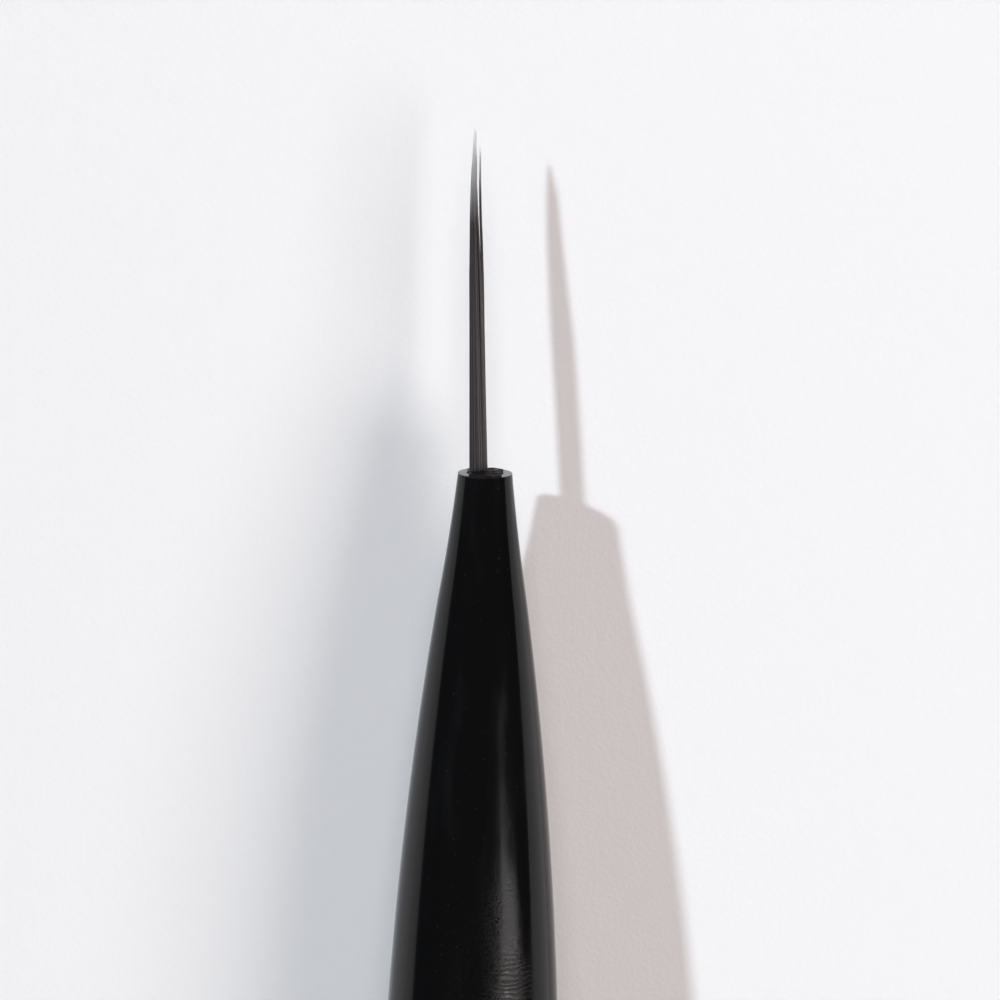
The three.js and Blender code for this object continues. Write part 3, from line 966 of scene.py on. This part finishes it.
def mouth_seal():
    """Dried ink over the mouth: it fills the bore, and laps over the lip above and below."""
    bottom = span("mouth_seal")[1]
    phases = rng.random(6) * 2 * math.pi
    angles = [2 * math.pi * (k + 0.5) / SEAL_SIDES for k in range(SEAL_SIDES)]
    points, faces = [], []
    for i in range(SEAL_RINGS + 1):
        share = 1.0 if i == SEAL_RINGS else 0.985 * i / (SEAL_RINGS - 1)
        for angle in angles:
            edge = seal_edge(angle, phases)
            x, z = edge * share * math.cos(angle), edge * share * math.sin(angle)
            height = seal_height(x, z, share, phases)
            if i == SEAL_RINGS:
                lap = np.clip((edge - LIP_RADIUS + 0.05) / 0.06, 0, 1)
                height -= 0.07 * lap  # down past the lip's rim where it hangs over
            points.append((x, LIP_Y + height, z))
    for depth in (0.05, bottom):
        for angle in angles:
            x, z = SEAL_PLUG_RADIUS * math.cos(angle), SEAL_PLUG_RADIUS * math.sin(angle)
            points.append((x, LIP_Y - depth, z))
    for i in range(SEAL_RINGS + 2):
        faces += band(i * SEAL_SIDES, (i + 1) * SEAL_SIDES, SEAL_SIDES)
    faces.append(tuple((SEAL_RINGS + 2) * SEAL_SIDES + k for k in range(SEAL_SIDES)))
    return points, faces


show("mouth_seal", mouth_seal())


# ---- Camera, floor and light ------------------------------------------------------------

CAMERA_TILT = math.radians(10.7)  # it sees the lip's end face by this much
CAMERA_ROLL = math.radians(1.36)
CAMERA_DISTANCE = 600.0
FRAME_WIDTH = 54.64  # at the pen
LIP_IN_FRAME = (-0.811, 1.495)  # from the frame's centre, right and up
SENSOR = 36.0


def camera():
    """A long lens above the pen, far enough ahead of it to see the lip's end face."""
    right0 = Vector((1, 0, 0))
    up0 = Vector((0, math.cos(CAMERA_TILT), -math.sin(CAMERA_TILT)))
    back = Vector((0, math.sin(CAMERA_TILT), math.cos(CAMERA_TILT)))
    right = right0 * math.cos(CAMERA_ROLL) + up0 * math.sin(CAMERA_ROLL)
    up = up0 * math.cos(CAMERA_ROLL) - right0 * math.sin(CAMERA_ROLL)
    target = Vector((0, LIP_Y, 0)) - right * LIP_IN_FRAME[0] - up * LIP_IN_FRAME[1]
    data = bpy.data.cameras.new("camera")
    data.sensor_width = SENSOR
    data.lens = SENSOR * CAMERA_DISTANCE / FRAME_WIDTH
    data.clip_start, data.clip_end = 0.01, 20.0
    made = bpy.data.objects.new("camera", data)
    made.matrix_world = Matrix((right, up, back)).transposed().to_4x4()
    made.location = (target + back * CAMERA_DISTANCE) * MM
    bpy.context.scene.collection.objects.link(made)
    bpy.context.scene.camera = made


BACKDROP = (0.9, 0.9, 0.91)
FLOOR_HALF = 3000.0
FLOOR_GAP = 0.01
MELT_MIDDLE = (0.0, LIP_Y - 40.0, 0.0)
MELT_START, MELT_END = 130.0, 380.0


def floor_corner(x, y):
    """A point of the floor. The pen lies on its flaring barrel, so its axis falls to the tuft."""
    start, end = span("barrel")[0], span("cap_shell")[0] - 0.5
    front, rear = outer_radius("trim_ring"), outer_radius("barrel")
    slope = (rear - front) / (end - start)
    return x, y, -(front + (LIP_Y - y - start) * slope) - FLOOR_GAP


def white_board():
    """Matt white with a fine grain.

    Well away from the pen the camera sees it melt into an even white backdrop.
    """
    white, black = (0.86, 0.86, 0.865), (0.0, 0.0, 0.0)
    shader = Shader("white_board", white, 0.75, Specular_IOR_Level=0.15)
    shader.set("Emission Color", (*BACKDROP, 1.0))
    place = shader.place()
    away = shader.ramp(shader.distance(place, MELT_MIDDLE), MELT_START, MELT_END)
    seen = shader.node("ShaderNodeLightPath").outputs["Is Camera Ray"]
    melt = shader.math("MULTIPLY", away, seen)
    shader.feed("Emission Strength", melt)
    shader.feed("Base Color", shader.mix_color(melt, white, black))
    coarse, fine = shader.noise(place, 0.9, 4.0, 0.65), shader.noise(place, 4.0, 3.0, 0.7)
    shader.bump(shader.math("ADD", coarse, fine), 0.05, 0.58)
    return shader.material


def floor():
    """A large white board under the pen."""
    signs = ((-1, -1), (1, -1), (1, 1), (-1, 1))
    corners = [floor_corner(x * FLOOR_HALF, y * FLOOR_HALF) for x, y in signs]
    made = mesh_object("floor", (corners, [(0, 1, 2, 3)]))
    made.data.materials.append(white_board())


def aim(made, direction):
    """Turn a light so that it shines from this direction."""
    made.rotation_mode = "QUATERNION"
    made.rotation_quaternion = Vector(direction).to_track_quat("Z", "Y")


def sun(direction, strength, color, degrees):
    """A far light from this direction that looks this many degrees wide."""
    data = bpy.data.lights.new("key", "SUN")
    data.energy, data.color, data.angle = strength, color, math.radians(degrees)
    made = bpy.data.objects.new("key", data)
    aim(made, direction)
    bpy.context.scene.collection.objects.link(made)


def box_light(name, direction, height, size, radiance, color):
    """A flat, even light that faces the nose, out of the camera's sight.

    It stands this high above the nose, in this direction (with z = 1) as seen from it. size
    is its two sides.
    """
    centre = NOSE_MIDDLE + Vector(direction) * height
    data = bpy.data.lights.new(name, "AREA")
    data.shape = "RECTANGLE"
    data.size, data.size_y = size[0] * MM, size[1] * MM
    data.energy = radiance * math.pi * data.size * data.size_y
    data.color = color
    made = bpy.data.objects.new(name, data)
    made.location = centre * MM
    aim(made, centre - NOSE_MIDDLE)
    made.visible_camera = False
    bpy.context.scene.collection.objects.link(made)


def world():
    """Dark above, so that the gloss black has little to mirror. The camera sees white."""
    dark = (0.035, 0.035, 0.037)
    made = bpy.data.worlds.new("studio")
    made.use_nodes = True
    tree = made.node_tree
    background = tree.nodes["Background"]
    rays = tree.nodes.new("ShaderNodeLightPath")
    mix = tree.nodes.new("ShaderNodeMix")
    mix.data_type = "RGBA"
    mix.inputs[6].default_value = (*dark, 1)
    mix.inputs[7].default_value = (*BACKDROP, 1)
    tree.links.new(rays.outputs["Is Camera Ray"], mix.inputs[0])
    tree.links.new(mix.outputs[2], background.inputs["Color"])
    bpy.context.scene.world = made


NOSE_MIDDLE = Vector((0.0, LIP_Y - 15.0, 0.0))
WARM = (1.0, 0.915, 0.87)
PINK = (1.0, 0.885, 0.89)
NEUTRAL = (0.96, 0.94, 0.95)
COOL = (0.79, 0.895, 0.957)

camera()
floor()
world()
sun((-1.155, 0.67, 1.0), 2.46, COOL, degrees=3.0)
box_light("right_core", (1.25, -0.72, 1.0), 560.0, (462.0, 420.0), radiance=9.15, color=WARM)
box_light("right_edge", (1.25, -0.25, 1.0), 560.0, (126.0, 420.0), radiance=6.0, color=NEUTRAL)
box_light("front_fill", (0.0, 0.9, 1.0), 500.0, (300.0, 450.0), radiance=4.3, color=PINK)
bpy.context.scene.view_settings.view_transform = "Standard"
